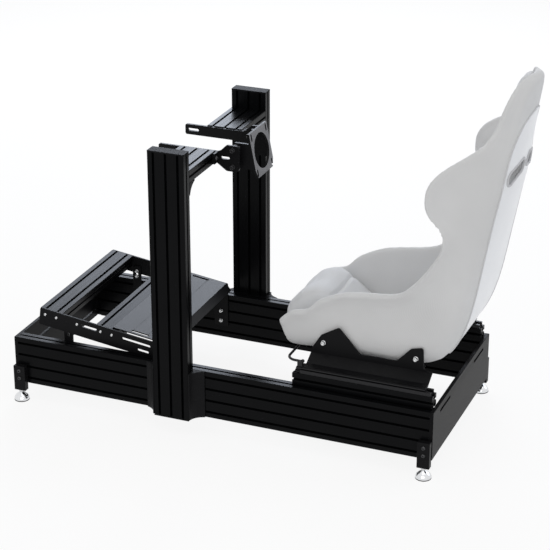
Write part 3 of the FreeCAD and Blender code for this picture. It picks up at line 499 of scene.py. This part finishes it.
def button_screw(mesh, place, axis, thread):
    """Low domed screw with a hexagon socket."""
    height = 0.55 * thread
    turn(mesh, place, axis, [
        (0.88 * thread, 0, ROUND),
        (0.88 * thread, 0.08 * thread, ROUND),
        (0.76 * thread, 0.6 * height, ROUND),
        (0.56 * thread, height, ROUND),
        (0.38 * thread, height, ROUND),
        (0.3125 * thread, height - 0.05 * thread, HEXAGON),
        (0.3125 * thread, 0.15 * thread, HEXAGON),
    ])


def hexagon_nut(mesh, place, axis, thread, height):
    """Chamfered nut with the end of its stud standing in it."""
    turn(mesh, place, axis, [
        (0.75 * thread, 0, ROUND),
        (0.80 * thread, 0.08 * height, HEXAGON),
        (0.80 * thread, 0.92 * height, HEXAGON),
        (0.75 * thread, height, ROUND),
        (0.52 * thread, height, ROUND),
        (0.50 * thread, 0.9 * height, ROUND),
        (0.48 * thread, 0.9 * height, ROUND),
        (0.44 * thread, height, ROUND),
    ])


def finish_piece(name, mesh, material, body):
    """Makes an object of a mesh under construction and ties it to its body."""
    data = bpy.data.meshes.new(name)
    bmesh.ops.recalc_face_normals(mesh, faces=mesh.faces)
    mesh.to_mesh(data)
    mesh.free()
    piece = bpy.data.objects.new(name, data)
    scene.collection.objects.link(piece)
    data.materials.append(material)
    data.shade_smooth()
    data.set_sharp_from_angle(angle=SMOOTH_ANGLE)
    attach(piece, body)
    return piece


def screws(name, kind, places, thread, material, body):
    """One piece of all like screws in a group; places are pairs of (foot, axis)."""
    mesh = bmesh.new()
    for place, axis in places:
        kind(mesh, place, axis, thread)
    finish_piece(name, mesh, material, body)


# Screws of the pedal deck

DECK_TILT = math.radians(7.5)
DECK_FRONT_X = 0.732
DECK_FRONT_Z = 0.319
DECK_BOLT_DROP = 0.020
DECK_BOLTS_ALONG = (0.020, 0.060, 0.135, 0.220, 0.260)
LUG_SETBACK = 0.025
LUG_SCREW_HEIGHTS = (0.158, 0.122)
LEG_SCREW_HEIGHTS = (0.238, 0.256)


def deck_bolt_place(along):
    """X and Z of a bolt, back along the tilted deck from its front top edge."""
    x = DECK_FRONT_X - along * math.cos(DECK_TILT) + DECK_BOLT_DROP * math.sin(DECK_TILT)
    z = DECK_FRONT_Z - along * math.sin(DECK_TILT) - DECK_BOLT_DROP * math.cos(DECK_TILT)
    return x, z


def pedal_screws():
    """Screws through the side plates into the bars, and those of the lugs and the front legs."""
    plate_low, plate_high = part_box("left_pedal_side_plate")
    leg_low, leg_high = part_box("left_pedal_leg")
    lug_x = plate_low.x + LUG_SETBACK
    leg_x = (leg_low.x + leg_high.x) / 2
    bar_places, lug_places = [], []
    for _, side in SIDES:
        for along in DECK_BOLTS_ALONG:
            x, z = deck_bolt_place(along)
            bar_places.append(((x, side * plate_high.y, z), (0, side, 0)))
        for z in LUG_SCREW_HEIGHTS:
            lug_places.append(((lug_x, side * plate_low.y, z), (0, -side, 0)))
        for z in LEG_SCREW_HEIGHTS:
            lug_places.append(((leg_x, side * leg_low.y, z), (0, -side, 0)))
    screws("pedal_bar_screws", button_screw, bar_places, M6, bright_screw, "frame")
    screws("pedal_lug_screws", cap_screw, lug_places, M6, bright_screw, "frame")


pedal_screws()


# Screws of the wheel mount

ARM_SHEET = 0.008
ARM_HEAD_SETBACK = 0.022
ARM_HEAD_RISE = 0.042
ARM_HEAD_HALF_GAP = 0.027
ARM_TAB_DROP = 0.041


def wheel_mount_screws():
    """Two screws in the head of each arm, and one in the tab that holds it to its beam."""
    low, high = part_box("left_wheel_arm")
    outer = low.y + ARM_SHEET
    head_x = low.x + ARM_HEAD_SETBACK
    head_z = low.z + ARM_HEAD_RISE
    tab_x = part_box("left_wheel_beam")[0].x - ARM_SHEET
    tab_y = (outer + high.y) / 2
    head_places, tab_places = [], []
    for _, side in SIDES:
        for step in (1, -1):
            place = (head_x, side * outer, head_z + step * ARM_HEAD_HALF_GAP)
            head_places.append((place, (0, side, 0)))
        tab_places.append(((tab_x, side * tab_y, high.z - ARM_TAB_DROP), (-1, 0, 0)))
    screws("arm_head_screws", cap_screw, head_places, M8, black_screw, "frame")
    screws("arm_tab_screws", button_screw, tab_places, M8, black_screw, "frame")


wheel_mount_screws()


# Screws of the seat

SEAT_EAR_SHEET = 0.004
SEAT_EAR_PLACES = (-0.224, -0.522)
SEAT_EAR_HEIGHT = 0.341


def seat_screws():
    """One screw in each ear of the seat's side brackets."""
    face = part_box("left_seat_bracket")[0].y + SEAT_EAR_SHEET
    places = []
    for _, side in SIDES:
        for x in SEAT_EAR_PLACES:
            places.append(((x, side * face, SEAT_EAR_HEIGHT), (0, side, 0)))
    screws("seat_side_screws", cap_screw, places, M8, bright_screw, "seat")


seat_screws()


# Levelling feet

UP = (0, 0, 1)
FOOT_RADIUS = 0.025
FOOT_RIM = 0.024
FOOT_PAD = 0.0028
PAD_CHAMFER_SHARE = 0.2
FOOT_SCREW_HEIGHTS = (0.080, 0.106)
LOCK_NUT_THREAD = 0.010
LOCK_NUT_HEIGHT = 0.006
# Radius and height of the domed foot, from its rim on the pad to the top of its stud.
FOOT_DOME = [
    (FOOT_RIM, FOOT_PAD),
    (0.0248, 0.0034),
    (FOOT_RADIUS, 0.0050),
    (0.0246, 0.0080),
    (0.0228, 0.0125),
    (0.0197, 0.0168),
    (0.0156, 0.0206),
    (0.0112, 0.0238),
    (0.0080, 0.0262),
    (0.0066, 0.0280),
    (0.0050, 0.0284),
    (0.0050, 0.0360),
]
PAD_RINGS = [
    (FOOT_RIM, 0, ROUND),
    (FOOT_RADIUS, PAD_CHAMFER_SHARE * FOOT_PAD, ROUND),
    (FOOT_RADIUS, FOOT_PAD, ROUND),
]


def foot_hardware():
    """Domed levelling feet on plastic pads, their lock nuts and the screws of their blocks."""
    feet, pads, nuts = bmesh.new(), bmesh.new(), bmesh.new()
    foot_nodes, screw_places = [], []
    for end in ENDS:
        for name, side in SIDES:
            low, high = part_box(f"{end}_{name}_foot_block")
            middle = (low + high) / 2
            face = high.y if side > 0 else low.y
            for z in FOOT_SCREW_HEIGHTS:
                screw_places.append(((middle.x, face, z), (0, side, 0)))
            base = (middle.x, middle.y, 0)
            turn(feet, base, UP, [(radius, height, ROUND) for radius, height in FOOT_DOME])
            turn(pads, base, UP, PAD_RINGS)
            nut_place = (middle.x, middle.y, low.z - LOCK_NUT_HEIGHT)
            hexagon_nut(nuts, nut_place, UP, LOCK_NUT_THREAD, LOCK_NUT_HEIGHT)
            foot_nodes.append(f"{end}_{name}_foot")
    domes = finish_piece("levelling_feet", feet, chrome, "frame")
    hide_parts(*foot_nodes)
    finish_piece("foot_pads", pads, moulded, "frame")
    finish_piece("foot_lock_nuts", nuts, bright_screw, "frame")
    screws("foot_block_screws", button_screw, screw_places, M8, black_screw, "frame")


foot_hardware()


# Caps under the uprights

LOWER_CAP = 0.005
LOWER_CAP_EDGE = 0.0008


def upright_foot_caps():
    """Plastic caps that close the lower ends of the uprights, like those on top."""
    mesh = bmesh.new()
    for name in both("upright"):
        low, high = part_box(name)
        middle = Vector(((low.x + high.x) / 2, (low.y + high.y) / 2, low.z - LOWER_CAP / 2))
        spans = Vector((high.x - low.x, high.y - low.y, LOWER_CAP))
        for corner in bmesh.ops.create_cube(mesh)["verts"]:
            corner.co = middle + corner.co * spans
    bmesh.ops.bevel(
        mesh, geom=mesh.edges[:], offset=LOWER_CAP_EDGE, segments=BEVEL_SEGMENTS, affect="EDGES"
    )
    finish_piece("upright_foot_caps", mesh, moulded, "frame")


upright_foot_caps()


# Shaping of the soft pieces

COVER_WELD = 0.00005
SMOOTH_FACTOR = 0.5
PRESSURE = 4
SIMULATED_FRAMES = 20
SEAM_DEPTH = 0.006
SEAM_WIDTH = 0.006


def own_copy(node_name, name):
    """New object with a copy of a CAD node's mesh."""
    piece = bpy.data.objects.new(name, nodes[node_name].data.copy())
    scene.collection.objects.link(piece)
    piece.data.materials.clear()
    return piece


def apply_modifiers(piece):
    """Bakes the modifiers of a new piece into its mesh."""
    bpy.context.view_layer.update()
    graph = bpy.context.evaluated_depsgraph_get()
    data = bpy.data.meshes.new_from_object(piece.evaluated_get(graph))
    piece.modifiers.clear()
    old = piece.data
    piece.data = data
    bpy.data.meshes.remove(old)


def remesh(piece, voxel, smoothing):
    """Gives a piece an even mesh of small faces, smoothed a number of times."""
    weld = piece.modifiers.new("weld", "WELD")
    weld.merge_threshold = COVER_WELD
    even = piece.modifiers.new("even", "REMESH")
    even.mode = "VOXEL"
    even.voxel_size = voxel
    smooth = piece.modifiers.new("smooth", "SMOOTH")
    smooth.factor = SMOOTH_FACTOR
    smooth.iterations = smoothing
    apply_modifiers(piece)


def inflate(piece, most):
    """Lets pressure round the pad, and holds each point near where it started."""
    start = [vertex.co.copy() for vertex in piece.data.vertices]
    settings = piece.modifiers.new("pressure", "CLOTH").settings
    settings.use_pressure = True
    settings.uniform_pressure_force = PRESSURE
    settings.effector_weights.gravity = 0
    for number in range(1, SIMULATED_FRAMES + 1):
        scene.frame_set(number)
    apply_modifiers(piece)
    scene.frame_set(1)
    for vertex, place in zip(piece.data.vertices, start):
        move = vertex.co - place
        if move.length > most:
            vertex.co = place + move.normalized() * most


def sew(piece, axis, seams, facing):
    """Presses a sewn channel across the pad at each seam along an axis, on the side that faces a way."""
    normals = [vertex.normal.copy() for vertex in piece.data.vertices]
    for vertex, normal in zip(piece.data.vertices, normals):
        front = max(normal.dot(facing), 0)
        pressed = sum(math.exp(-((vertex.co[axis] - seam) / SEAM_WIDTH) ** 2) for seam in seams)
        vertex.co -= normal * (SEAM_DEPTH * front * pressed)


# Front lip of the seat

NOSE_LENGTH = 0.11
NOSE_REACH = 0.013
NOSE_DROP = 0.008
NOSE_SPREAD = 0.10
PAD_RISE = 0.026
PAD_RISE_LENGTH = 0.20
PAD_RISE_FLAT = 0.08


def smooth_step(value):
    """0 below 0, 1 above 1, and a smooth rise between them."""
    share = min(max(value, 0.0), 1.0)
    return share * share * (3 - 2 * share)


def roll_nose(piece, spread):
    """Draws the front lip of the seat forwards and down, and widens the pad into the bolsters there."""
    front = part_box("seat_shell")[1].x
    for vertex in piece.data.vertices:
        share = smooth_step((vertex.co.x - front + NOSE_LENGTH) / NOSE_LENGTH)
        vertex.co.x += NOSE_REACH * share
        vertex.co.y *= 1 + spread * share
        vertex.co.z -= NOSE_DROP * share


def raise_front(pad):
    """Thickens the base pad upwards towards the front lip, where it carries the thighs."""
    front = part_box("seat_shell")[1].x
    slope = PAD_RISE_LENGTH - PAD_RISE_FLAT
    rises = [max(vertex.normal.z, 0) * PAD_RISE for vertex in pad.data.vertices]
    for vertex, rise in zip(pad.data.vertices, rises):
        vertex.co.z += rise * smooth_step((vertex.co.x - front + PAD_RISE_LENGTH) / slope)


# Cover of the seat and its three cushions

COVER_VOXEL = 0.0055
COVER_SMOOTHING = 18
PAD_VOXEL = 0.007
PAD_SMOOTHING = 3
CUSHION_SWELL = 0.004
HEAD_SWELL = 0.003
AXIS_X = 0
AXIS_Z = 2
LAP_FACING = Vector((0.0, 0.0, 1.0))
BACK_FACING = Vector((0.98, 0.0, 0.2))
BASE_SEAMS = (-0.21, -0.29, -0.37, -0.45)
BACK_SEAMS = (0.60, 0.68, 0.76, 0.84)
NO_SEAMS = ()


def seat_cover():
    """Covered shell, evened out so that its sections run smoothly into each other."""
    cover = own_copy("seat_shell", "seat_cover")
    remesh(cover, COVER_VOXEL, COVER_SMOOTHING)
    roll_nose(cover, spread=0)
    cover.data.materials.append(grey_cloth)
    cover.data.shade_smooth()
    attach(cover, "seat")
    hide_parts("seat_shell")
    return cover


def cushion(node_name, swell, seam_axis, seams, facing):
    """Padded cover made of a cushion's solid: evened out, swelled, sewn and covered in cloth."""
    pad = own_copy(node_name, f"{node_name}_cover")
    remesh(pad, PAD_VOXEL, PAD_SMOOTHING)
    inflate(pad, swell)
    pad.modifiers.new("finer", "SUBSURF").levels = 1
    apply_modifiers(pad)
    sew(pad, seam_axis, seams, facing)
    if node_name == "seat_base_cushion":
        raise_front(pad)
        roll_nose(pad, NOSE_SPREAD)
    pad.data.materials.append(pad_cloth)
    pad.data.shade_smooth()
    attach(pad, "seat")
    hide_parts(node_name)


# Rear panel of the seat, with its harness slots and trims

PANEL_HALF_AT_SLOTS = 0.147
# Height and half width of the panel's outline, from its foot to its peak.
PANEL_OUTLINE = [
    (0.350, 0.146),
    (0.500, 0.152),
    (0.653, 0.154),
    (0.808, 0.155),
    (0.923, PANEL_HALF_AT_SLOTS),
    (0.973, 0.135),
    (1.023, 0.116),
    (1.073, 0.084),
    (1.098, 0.048),
    (1.108, 0.004),
]
PANEL_ROWS = 90
PANEL_COLUMNS = 40
PANEL_PROUD = 0.0025
PANEL_SHEET = 0.005
PANEL_EDGE = 0.0012
PANEL_BEVEL_ANGLE = math.radians(50)
PANEL_SMOOTH_ANGLE = math.radians(40)
PIPING_RADIUS = 0.0028
BEZEL_RADIUS = 0.0045
BEZEL_STEPS = 64
TRIM_ROUNDNESS = 3
SLOT_Y = 0.072
SLOT_Z = 0.930
SLOT_LENGTH = 0.118
SLOT_HEIGHT = 0.044
SLOT_TILT = math.radians(14)
CUTTER_REACH = (-1.0, -0.5)
CUTTER_STEPS = 48
BEHIND_SEAT = -2
FORWARD = Vector((1, 0, 0))


def curve_through(before, start, end, beyond, share):
    """Smooth curve from start to end, in line with the values before and beyond them."""
    square = 2 * before - 5 * start + 4 * end - beyond
    cubic = 3 * (start - end) + beyond - before
    return start + share / 2 * (end - before + share * (square + share * cubic))


def along_outline(share):
    """Height and half width of the rear panel at a share of its outline, on a smooth curve."""
    spans = len(PANEL_OUTLINE) - 1
    place = share * spans
    first = min(int(place), spans - 1)
    picks = [PANEL_OUTLINE[min(max(first + step, 0), spans)] for step in (-1, 0, 1, 2)]
    return [curve_through(*values, place - first) for values in zip(*picks)]


class ShellBack:
    """The seat's rear face, read from behind off the finished cover."""

    def __init__(self, piece):
        corners = [vertex.co for vertex in piece.data.vertices]
        faces = [face.vertices for face in piece.data.polygons]
        self.tree = BVHTree.FromPolygons(corners, faces)

    def hit(self, y, z):
        """X of the first point that a line from behind meets."""
        return self.tree.ray_cast(Vector((BEHIND_SEAT, y, z)), FORWARD)[0].x

    def crowned(self, y, z, half):
        """X crowned between the middle and the edge of the panel, so that it runs over the slots."""
        middle = self.hit(0, z)
        edge = (self.hit(half, z) + self.hit(-half, z)) / 2
        return middle + (edge - middle) * (y / half) ** 2


def slot_loop(side, steps):
    """(y, z) points round a harness slot's edge; the slots fall towards the outside."""
    radius = SLOT_HEIGHT / 2
    straight = (SLOT_LENGTH - SLOT_HEIGHT) / 2
    points = []
    for step in range(steps):
        angle = 2 * math.pi * step / steps
        along = math.copysign(straight, math.cos(angle)) + radius * math.cos(angle)
        rise = radius * math.sin(angle)
        y = along * math.cos(SLOT_TILT) + rise * math.sin(SLOT_TILT)
        z = rise * math.cos(SLOT_TILT) - along * math.sin(SLOT_TILT)
        points.append((side * (SLOT_Y + y), SLOT_Z + z))
    return points


def slot_cutter(side):
    """Prism that opens a harness slot in the rear panel."""
    mesh = bmesh.new()
    rear, front = [
        [mesh.verts.new((x, y, z)) for y, z in slot_loop(side, CUTTER_STEPS)] for x in CUTTER_REACH
    ]
    for step in range(CUTTER_STEPS):
        after = (step + 1) % CUTTER_STEPS
        mesh.faces.new((rear[step], rear[after], front[after], front[step]))
    mesh.faces.new(list(reversed(rear)))
    mesh.faces.new(front)
    bmesh.ops.recalc_face_normals(mesh, faces=mesh.faces)
    data = bpy.data.meshes.new("slot_cutter")
    mesh.to_mesh(data)
    mesh.free()
    cutter = bpy.data.objects.new("slot_cutter", data)
    scene.collection.objects.link(cutter)
    return cutter


def panel_sheet(shell):
    """Mesh of rows and columns that follows the back of the seat inside the panel's outline."""
    mesh = bmesh.new()
    rows = []
    for row in range(PANEL_ROWS + 1):
        z, half = along_outline(row / PANEL_ROWS)
        line = []
        for column in range(PANEL_COLUMNS + 1):
            y = half * (2 * column / PANEL_COLUMNS - 1)
            line.append(mesh.verts.new((shell.crowned(y, z, half) - PANEL_PROUD, y, z)))
        rows.append(line)
    for low, high in zip(rows[:-1], rows[1:]):
        for step in range(PANEL_COLUMNS):
            mesh.faces.new((low[step], high[step], high[step + 1], low[step + 1]))
    return mesh


def rear_panel(shell):
    """Pale moulded panel that lies on the back of the seat, with its two harness slots."""
    panel = finish_piece("seat_rear_panel", panel_sheet(shell), shell_coat, "seat")
    sheet = panel.modifiers.new("sheet", "SOLIDIFY")
    sheet.thickness = PANEL_SHEET
    sheet.offset = -1 if panel.data.polygons[0].normal.x < 0 else 1
    cutters = [slot_cutter(side) for _, side in SIDES]
    for cutter in cutters:
        opening = panel.modifiers.new("opening", "BOOLEAN")
        opening.object = cutter
    edges = panel.modifiers.new("softened_edges", "BEVEL")
    edges.width = PANEL_EDGE
    edges.segments = BEVEL_SEGMENTS
    edges.angle_limit = PANEL_BEVEL_ANGLE
    apply_modifiers(panel)
    for cutter in cutters:
        bpy.data.objects.remove(cutter)
    panel.data.shade_smooth()
    panel.data.set_sharp_from_angle(angle=PANEL_SMOOTH_ANGLE)


def tube(name, lines, radius, closed, material):
    """Round trim along lines of points, on the seat."""
    data = bpy.data.curves.new(name, "CURVE")
    data.dimensions = "3D"
    data.bevel_depth = radius
    data.bevel_resolution = TRIM_ROUNDNESS
    data.use_fill_caps = True
    for points in lines:
        spline = data.splines.new("POLY")
        spline.points.add(len(points) - 1)
        for point, place in zip(spline.points, points):
            point.co = (*place, 1)
        spline.use_cyclic_u = closed
    guide = bpy.data.objects.new(name + "_guide", data)
    scene.collection.objects.link(guide)
    bpy.context.view_layer.update()
    mesh = bpy.data.meshes.new_from_object(guide)
    bpy.data.objects.remove(guide)
    mesh.name = name
    piece = bpy.data.objects.new(name, mesh)
    scene.collection.objects.link(piece)
    mesh.materials.clear()
    mesh.materials.append(material)
    mesh.shade_smooth()
    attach(piece, "seat")


def panel_trims(shell):
    """Piping round the panel's edge, and a bezel round each harness slot."""
    edge = []
    steps = PANEL_ROWS * 2
    for step in range(-steps, steps + 1):
        z, half = along_outline(1 - abs(step) / steps)
        y = math.copysign(half, step) if step else 0.0
        edge.append((shell.crowned(y, z, half) - PANEL_PROUD / 2, y, z))
    tube("seat_panel_piping", [edge], PIPING_RADIUS, False, piping_cloth)
    bezels = []
    for _, side in SIDES:
        loop = slot_loop(side, BEZEL_STEPS)
        bezels.append([(shell.crowned(y, z, PANEL_HALF_AT_SLOTS) - PANEL_PROUD, y, z) for y, z in loop])
    tube("harness_slot_bezels", bezels, BEZEL_RADIUS, True, trim_plastic)


shell_back = ShellBack(seat_cover())
rear_panel(shell_back)
panel_trims(shell_back)
cushion("seat_base_cushion", CUSHION_SWELL, AXIS_X, BASE_SEAMS, LAP_FACING)
cushion("seat_back_cushion", CUSHION_SWELL, AXIS_Z, BACK_SEAMS, BACK_FACING)
cushion("seat_head_pad", HEAD_SWELL, AXIS_Z, NO_SEAMS, BACK_FACING)


# Camera, sky, floor and lamps

CAMERA_PLACE = (-2.0234, 5.0472, 2.8319)
CAMERA_TARGET = (0.0387, -0.0461, 0.4224)
CAMERA_LENS_MM = 122.08
SENSOR_WIDTH_MM = 36
SKY_LOW = 0.2
SKY_HIGH = 0.55
SKY_HORIZON = 0.3
FLOOR_REACH = 40
FLOOR_TONE = 0.93
FLOOR_ROUGHNESS = 0.9
FLOOR_GLOW_SHARE = 0.88
WHITE = (1, 1, 1)
COOL_WHITE = (0.80, 0.87, 1.0)


def add_aimed(name, data, place, target):
    """New camera or lamp at a place, turned to a target."""
    item = bpy.data.objects.new(name, data)
    item.location = place
    item.rotation_euler = (Vector(target) - Vector(place)).to_track_quat("-Z", "Y").to_euler()
    scene.collection.objects.link(item)
    return item


def add_camera():
    data = bpy.data.cameras.new("photo_camera")
    data.lens = CAMERA_LENS_MM
    data.sensor_width = SENSOR_WIDTH_MM
    scene.camera = add_aimed("photo_camera", data, CAMERA_PLACE, CAMERA_TARGET)


def add_area_light(name, place, target, width, height, watts, colour=WHITE):
    data = bpy.data.lights.new(name, "AREA")
    data.color = colour
    data.energy = watts
    data.shape = "RECTANGLE"
    data.size = width
    data.size_y = height
    add_aimed(name, data, place, target)


def seen_directly(tree):
    """1 for what the camera sees, itself or in metal or glass, and 0 for what only lights the part."""
    path = add_node(tree, "ShaderNodeLightPath")
    seen = math_node(tree, "MAXIMUM", path.outputs["Is Camera Ray"], path.outputs["Is Glossy Ray"])
    return math_node(tree, "MAXIMUM", seen, path.outputs["Is Transmission Ray"])


def add_sky():
    """Studio dome, dim below the horizon, that the camera and the metal see as white."""
    world = bpy.data.worlds.new("studio")
    scene.world = world
    world.use_nodes = True
    tree = world.node_tree
    background = tree.nodes["Background"]
    background.inputs["Color"].default_value = (*WHITE, 1)
    direction = tree.nodes.new("ShaderNodeTexCoord")
    split = tree.nodes.new("ShaderNodeSeparateXYZ")
    tree.links.new(direction.outputs["Generated"], split.inputs["Vector"])
    lighting = ranged(tree, split.outputs["Z"], SKY_LOW, SKY_HIGH, -SKY_HORIZON, SKY_HORIZON)
    strength = math_node(tree, "MAXIMUM", lighting, seen_directly(tree))
    tree.links.new(strength, background.inputs["Strength"])


def add_floor():
    """White floor: what the camera and the metal see of it is nearly white, and it keeps the shadow."""
    mesh = bpy.data.meshes.new("floor")
    corners = [(x * FLOOR_REACH, y * FLOOR_REACH, 0) for x, y in ((-1, -1), (1, -1), (1, 1), (-1, 1))]
    mesh.from_pydata(corners, [], [(0, 1, 2, 3)])
    floor = bpy.data.objects.new("floor", mesh)
    scene.collection.objects.link(floor)
    material, tree, shader = new_material("studio_floor")
    shader.inputs["Base Color"].default_value = (FLOOR_TONE, FLOOR_TONE, FLOOR_TONE, 1)
    shader.inputs["Roughness"].default_value = FLOOR_ROUGHNESS
    shader.inputs["Specular IOR Level"].default_value = 0.0
    glow = add_node(tree, "ShaderNodeEmission", Strength=1.0)
    share = math_node(tree, "MULTIPLY", seen_directly(tree), FLOOR_GLOW_SHARE)
    mix = add_node(tree, "ShaderNodeMixShader")
    tree.links.new(share, mix.inputs["Fac"])
    tree.links.new(shader.outputs["BSDF"], mix.inputs[1])
    tree.links.new(glow.outputs["Emission"], mix.inputs[2])
    tree.links.new(mix.outputs["Shader"], tree.nodes["Material Output"].inputs["Surface"])
    mesh.materials.append(material)


add_camera()
add_sky()
add_floor()
add_area_light(
    "overhead", place=(-0.6, 0.4, 4.0), target=(-0.1, 0, 0.3), width=3.5, height=3.5, watts=20
)
add_area_light(
    "near_fill", place=(-1.2, 4.6, 2.6), target=(-0.2, 0, 0.5), width=4.0, height=3.0, watts=45
)
add_area_light(
    "far_softbox", place=(1.8, -4.2, 2.5), target=(0.2, 0, 0.5), width=2.8, height=1.6, watts=105,
    colour=COOL_WHITE,
)
add_area_light(
    "rear_softbox", place=(-3.4, -2.8, 2.6), target=(-0.4, 0, 0.6), width=3.0, height=2.4, watts=30,
    colour=COOL_WHITE,
)

scene.view_settings.view_transform = "Standard"
